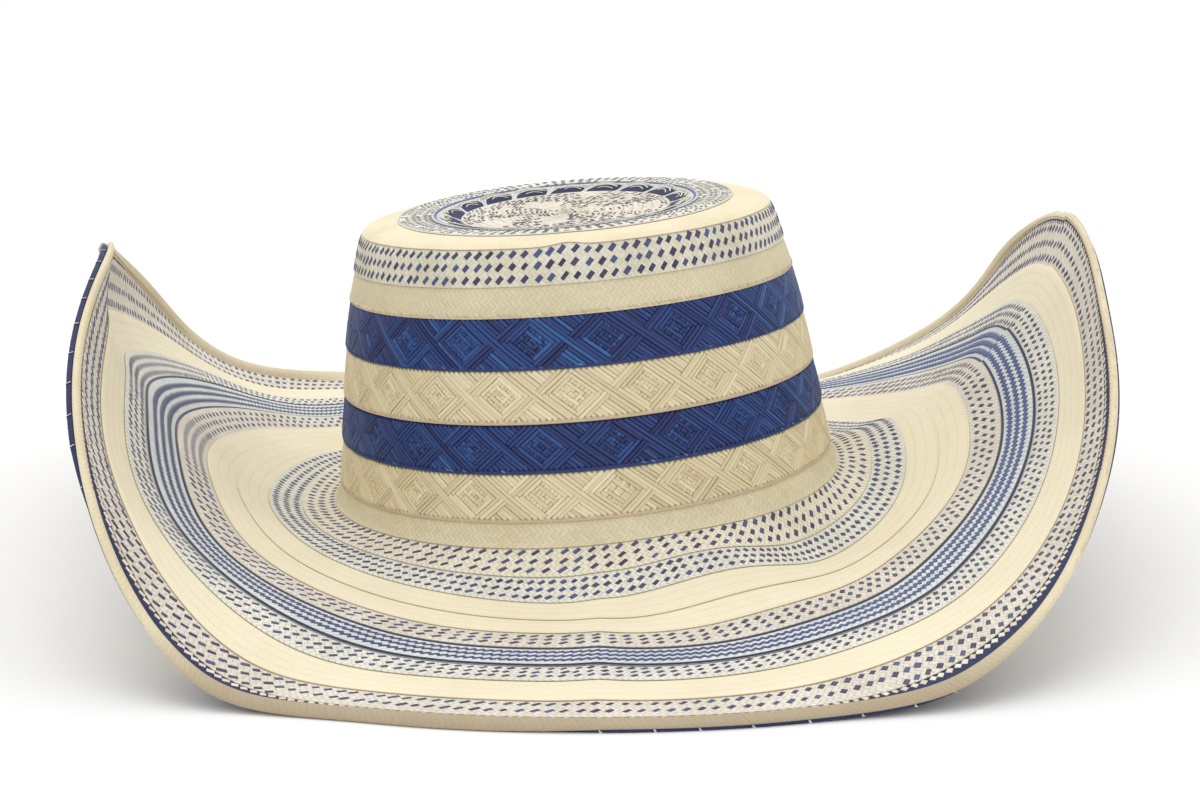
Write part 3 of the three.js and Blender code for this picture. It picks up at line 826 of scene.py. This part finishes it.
# Brim: ten more turns of the same plait, each lapping the next one out. Five carry rows of dyed checks,
# three are plain cream, one has saw-tooth rows of blue, and the narrow last one is half under the binding.
turned_width = 119.1
brim_turns = {
    "brim_check_strip_1": 0.101,
    "brim_check_strip_2": 0.101,
    "brim_cream_strip_1": 0.101,
    "brim_cream_strip_2": 0.102,
    "brim_check_strip_3": 0.110,
    "brim_blue_strip": 0.132,
    "brim_check_strip_4": 0.099,
    "brim_cream_strip_3": 0.128,
    "brim_check_strip_5": 0.111,
    "brim_edge_strip": 0.015,
}
under_binding = 3.4
reached = foot_along
for node, share in brim_turns.items():
    turn_edges[node] = (reached, reached + share * turned_width)
    reached += share * turned_width
turn_edges["brim_edge_strip"] = (turn_edges["brim_edge_strip"][0], reached + under_binding)

brim_cane = plaited_cane("cane_plait_cream_brim", "#f2e8cb", "#e9dec0", "#a08a5a", 1.9, 1.6, depth=0.03,
                         crease=4.0, contrast=0.12, line=0.06, creased=0.15)
for node in ("brim_cream_strip_1", "brim_cream_strip_2", "brim_cream_strip_3"):
    lapped_turn(node + "_plait", node, brim_cane, 1.9)

# Three grounds of natural cane, then rows, column pitch, and a check's length and width on each checked turn.
warm_ground = plaited_cane("cane_plait_ground_warm", "#f0e8d5", "#ded5be", "#857c60", 1.9, 1.3, line=0.45)
green_ground = plaited_cane("cane_plait_ground_greenish", "#ece9dc", "#d8d5c7", "#7a7a62", 1.9, 1.3,
                            line=0.45)
pale_ground = plaited_cane("cane_plait_ground_pale", "#e9e2d4", "#d5ccbb", "#857b68", 1.9, 1.3, line=0.45)
brim_checks = {
    "brim_check_strip_1": (warm_ground, (0.18, 0.50, 0.82), 4.4, 2.6, 1.5),
    "brim_check_strip_2": (green_ground, (0.23, 0.53, 0.84), 3.3, 2.0, 1.6),
    "brim_check_strip_3": (pale_ground, (0.27, 0.53, 0.79), 4.3, 2.3, 1.5),
    "brim_check_strip_4": (green_ground, (0.22, 0.51, 0.79), 3.6, 2.0, 1.4),
    "brim_check_strip_5": (pale_ground, (0.20, 0.55, 0.90), 3.7, 2.3, 1.7),
}
for node, (ground, rows, pitch, length, width) in brim_checks.items():
    lapped_turn(node + "_plait", node, ground, 1.9)
    gathered = 0.45 if node == "brim_check_strip_5" else 0.0
    for side, label in ((1, "_checks"), (-1, "_checks_beneath")):
        paths = checks(node, rows, pitch, length, 42 * side, side=side, gathered=gathered)
        strands(node + label, paths, width, 0.18, check_cane, side=side)

# The blue turn: three saw-toothed strands of blue on pale plait between two straight navy ones.
blue_inner, blue_outer = turn_edges["brim_blue_strip"]
blue_width = blue_outer - blue_inner
pale_cane = plaited_cane("cane_plait_pale_blue", "#e2e4dd", "#ccd1cd", "#6b7592", 2.4, 2.2, line=0.4)
line_cane = dyed_cane("dyed_cane_navy", ["#1c2238", "#262e52", "#333d68"])
saw_cane = dyed_cane("dyed_cane_saw_tooth", ["#393c62", "#454f7c", "#476196"])
lapped_turn("brim_blue_plait", "brim_blue_strip", pale_cane, 2.4)
tooth_spacing = 2.4
for side, label in ((1, ""), (-1, "_beneath")):
    teeth = []
    for share in (0.29, 0.52, 0.75):
        round_length, bearing_at = one_round(blue_inner + share * blue_width)
        count = round(round_length / tooth_spacing)
        run = np.repeat(np.arange(count), 2) * round_length / count
        run[1::2] += 0.7 * round_length / count
        sweep = np.tile([0.6, -0.6], count) * (1 + 0.12 * chance.standard_normal(2 * count))
        along = blue_inner + share * blue_width + sweep
        lift = top_of_turn((along - blue_inner) / blue_width) + 0.05 if side > 0 else -half_straw - 0.05
        turn = bearing_at(run)
        to_right = np.cos(2 * np.pi * turn)
        # Painted light: the teeth are drawn lighter towards the hat's right, where more light falls, and
        # larger there too.
        tone = 0.4 + 0.3 * to_right + 0.1 * chance.standard_normal(2 * count)
        teeth.append((turn, along, lift, tone, 1 + 0.12 * to_right))
    lines = []
    for share in (0.08, 1.012):
        lift = top_of_turn(share) + 0.06 if side > 0 else -half_straw - 0.05
        lines.append((np.arange(480) / 480, blue_inner + share * blue_width, lift, 0.4, 1.0))
    strands("brim_blue_teeth" + label, teeth, 1.85, 0.2, saw_cane, side=side, closed=True)
    strands("brim_blue_lines" + label, lines, 1.0, 0.3, line_cane, side=side, closed=True)

# The narrow last turn: blue with small cream squares, its outer part under the binding.
navy_plait = plaited_cane("dyed_cane_plait_navy", "#2f3660", "#262c50", "#14182c", 1.6, 1.2)
lapped_turn("brim_edge_plait", "brim_edge_strip", navy_plait, 1.6, rise=0.3)
edge_squares = checks("brim_edge_strip", (0.36,), 2.7, 1.9, 42, rise=0.3)
strands("brim_edge_squares", edge_squares, 1.8, 0.2, natural_cane)


# Binding: a plain cream plait folded over the rim and sewn through. Where the hat rests in front the fold
# rolls down, at the curled sides it lies flat, and round the back it is wider and turned up. At the front
# right it sits a little high and the dark strip beneath it shows.
rolled = np.array([
    (-3.2, 0.4), (-3.15, 0.7), (-2.9, 0.9), (-2.3, 0.95), (-1.6, 0.75), (-0.9, 0.35), (-0.2, -0.25),
    (0.3, -0.95), (0.4, -1.5), (0.15, -1.9), (-0.5, -2.1), (-1.44, -2.1), (-1.44, -0.9), (-3.1, -0.85),
])
high = rolled.copy()
high[6:12] = [(-0.2, -0.1), (0.2, -0.55), (0.28, -0.9), (0.1, -1.2), (-0.5, -1.3), (-1.44, -1.3)]
behind = np.array([
    (-5.8, 0.3), (-5.7, 0.85), (-5.2, 1.15), (-4.0, 1.8), (-2.8, 2.5), (-1.6, 3.1), (-0.4, 3.5),
    (0.3, 3.1), (0.5, 2.0), (0.4, 0.2), (0.0, -1.2), (-1.44, -2.1), (-1.44, -0.9), (-5.6, -0.85),
])
standing = np.array([
    (-2.4, 0.35), (-2.35, 0.7), (-2.1, 0.9), (-1.7, 0.95), (-1.2, 0.92), (-0.7, 0.85), (-0.1, 0.65),
    (0.3, 0.3), (0.42, -0.2), (0.3, -0.75), (-0.2, -1.1), (-1.44, -1.2), (-1.44, -0.9), (-2.3, -0.85),
])
bearings = 480
round_length, bearing_at = one_round(rim_along - 2)
runs = np.linspace(0.0, round_length, bearings + 1)
turns = bearing_at(runs[:-1])


def curled_at(turn, start=5.0):
    """0 where the rim lies on the table, 1 where it stands 14 mm above the height where the curl starts."""
    curl = np.clip((form_points[:, -5, 2] - start) / 14.0, 0, 1)
    return np.interp(turn % 1.0, np.arange(len(curl)) / len(curl), curl, period=1.0)[:, None, None]


def raised_at(turn):
    """1 along the front right, where the binding sits high."""
    place = turn % 1.0
    shown = np.clip((place - 0.735) / 0.02, 0, 1) * np.clip((0.84 - place) / 0.03, 0, 1)
    return shown[:, None, None]


def folded(turn):
    """The fold's outline at each bearing, blended from the four shapes above."""
    low = rolled * (1 - raised_at(turn)) + high * raised_at(turn)
    front = low * (1 - curled_at(turn)) + standing * curled_at(turn)
    back = np.clip(2.2 * np.sin(2 * np.pi * turn) - 0.2, 0, 1)[:, None, None]
    back = back * back * (3 - 2 * back)
    return front * (1 - back) + behind * back


outline = folded(turns)
sections, _ = on_form(turns[:, None], rim_along + outline[:, :, 0], outline[:, :, 1])
round_it = np.concatenate([[0.0], np.cumsum(np.linalg.norm(np.diff(standing, axis=0), axis=1))])
binding_cane = plaited_cane("cane_plait_binding", "#e7dbbd", "#d9cba9", "#6b5138", 1.7, 1.6, depth=0.05,
                            contrast=0.15, line=0.1)
# Painted shade: the binding's front, where it rolls down and faces away from the overhead light, is darkened
# towards its seam colour.
front_shade = np.clip(-3 * np.sin(2 * np.pi * turns), 0, 1) * (1 - curled_at(turns)[:, 0, 0])
seam_line_and_shade = np.tile(0.52 * front_shade[:, None], len(rolled))
# Its inner edge is darkened too: a painted shadow line in the gap beside the brim.
seam_line_and_shade[:, 0] = 0.8
scale = round(round_length / 1.7) * 1.7 / round_length
sewn_wall("rim_binding_plait", "rim_binding", binding_cane, sections, runs * scale, round_it,
          seam_line_and_shade)

stitch_thread = dyed_cane("brown_sewing_thread", ["#8d7450", "#a58a62"])
stitch_spacing = 1.9
stitch_count = round(round_length / stitch_spacing)
stitches = []
for k in range(stitch_count):
    turn = bearing_at(k * round_length / stitch_count + np.array([0.0, stitch_spacing / 2]))
    if curled_at(turn, 45.0).max() < 0.2:
        continue
    fold = folded(turn)[:, 3] + np.array([0.15, 0.06])
    stitches.append((turn, rim_along + fold[:, 0], fold[:, 1], chance.random(), 1.0))
strands("rim_binding_stitches", stitches, 0.32, 0.16, stitch_thread)

# Worn fibres that stand off the binding's outer fold, most of them on the right.
fray_count = 150
frays = []
for k in range(fray_count):
    middle = 0.08 * chance.standard_normal() - 0.03
    turn = middle + np.array([0.0, 0.0006, 0.0018]) * (1 if chance.random() < 0.6 else -1)
    if curled_at(turn, 20.0).min() < 0.5:
        continue
    out = np.array([0.1, 0.4, 0.5 + 0.35 * chance.random()])
    lift = np.array([-0.4, -0.3, 0.2 * chance.standard_normal()])
    frays.append((turn, rim_along + out, lift, 0.8, 1.0))
strands("rim_binding_frays", frays, 0.24, 0.14, cream_twist_cane)


# Underside strip: dark blue plait sewn beneath the rim, with a short pale strand across it every 13 mm. It
# shows past the binding along the curled sides, most of all on the left.
beneath = np.array([
    (-5.2, -1.1), (-1.8, -1.1), (-1.78, -1.95), (-1.95, -2.09), (-3.6, -2.1), (-5.2, -2.07), (-5.4, -1.95),
])
beneath_high = np.array([
    (-5.2, -1.1), (-0.9, -1.1), (-0.05, -1.25), (0.1, -1.95), (-3.0, -2.1), (-5.2, -2.07), (-5.4, -1.95),
])
beneath_upright = np.array([
    (-5.2, -1.1), (-1.6, -1.1), (-0.8, -1.6), (-0.9, -3.0), (-3.0, -3.3), (-5.2, -2.9), (-5.4, -2.0),
])


def strip_outline(turn):
    """Outline of the underside strip at each bearing; it stands out further on the left than on the right."""
    low = beneath * (1 - raised_at(turn)) + beneath_high * raised_at(turn)
    out = curled_at(turn, 45.0) * np.where(np.cos(2 * np.pi * turn) < 0, 1.0, 0.1)[:, None, None]
    return low * (1 - out) + beneath_upright * out


outline = strip_outline(turns)
sections, _ = on_form(turns[:, None], rim_along + outline[:, :, 0], outline[:, :, 1])
across = np.array([0.0, 4.1, 5.2, 5.4, 7.5, 9.3, 9.6])
sewn_wall("rim_underside_plait", "rim_underside_strip", navy_plait, sections, runs * scale,
          across)
bar_spacing = 13.0
bar_count = round(round_length / bar_spacing)
bars = []
for k in range(bar_count):
    run = (k + 0.5 + 0.06 * chance.standard_normal()) * round_length / bar_count
    turn = bearing_at(run + np.array([-0.4, -0.3, 0.2, 0.4]))
    fold = strip_outline(turn)[np.arange(4), [2, 3, 4, 5]]
    fold += np.array([(0.05, 0.0), (0.05, -0.04), (0.0, -0.04), (0.0, -0.04)])
    lift = np.maximum(fold[:, 1], -2.0 - 1.45 * curled_at(turn, 45.0)[:, 0, 0])
    bars.append((turn, rim_along + fold[:, 0], lift, chance.random(), 1.0))
strands("rim_underside_bars", bars, 0.9, 0.2, natural_cane, side=-1)


# Room: a plain pale floor in soft, even studio light, seen from the front and a little above.
mesh = bpy.data.meshes.new("studio_floor")
mesh.from_pydata([(-30, -6, 0), (30, -6, 0), (30, 60, 0), (-30, 60, 0)], [], [(0, 1, 2, 3)])
floor_paint, _, floor_shader = new_finish("matt_white_floor", 0.9)
floor_shader.inputs["Base Color"].default_value = linear("#eeeeee")
mesh.materials.append(floor_paint)
floor = new_piece("studio_floor", mesh)

world = bpy.data.worlds.new("studio_air")
world.use_nodes = True
background = world.node_tree.nodes["Background"]
background.inputs["Color"].default_value = linear("#ffffff")
background.inputs["Strength"].default_value = 1.0
bpy.context.scene.world = world
light = bpy.data.lights.new("overhead_softbox", "SUN")
light.energy = 0.8
light.angle = np.radians(50)
lamp = bpy.data.objects.new("overhead_softbox", light)
lamp.rotation_euler = (np.radians(-16), np.radians(-6), 0)
bpy.context.scene.collection.objects.link(lamp)

camera_data = bpy.data.cameras.new("studio_camera")
camera_data.sensor_width = 36.0
camera_data.lens = 59.91
camera = bpy.data.objects.new("studio_camera", camera_data)
camera.location = (0.0088, -0.6757, 0.1699)
camera.rotation_euler = (np.radians(90 - 10.81), 0.0, 0.0)
bpy.context.scene.collection.objects.link(camera)
bpy.context.scene.camera = camera
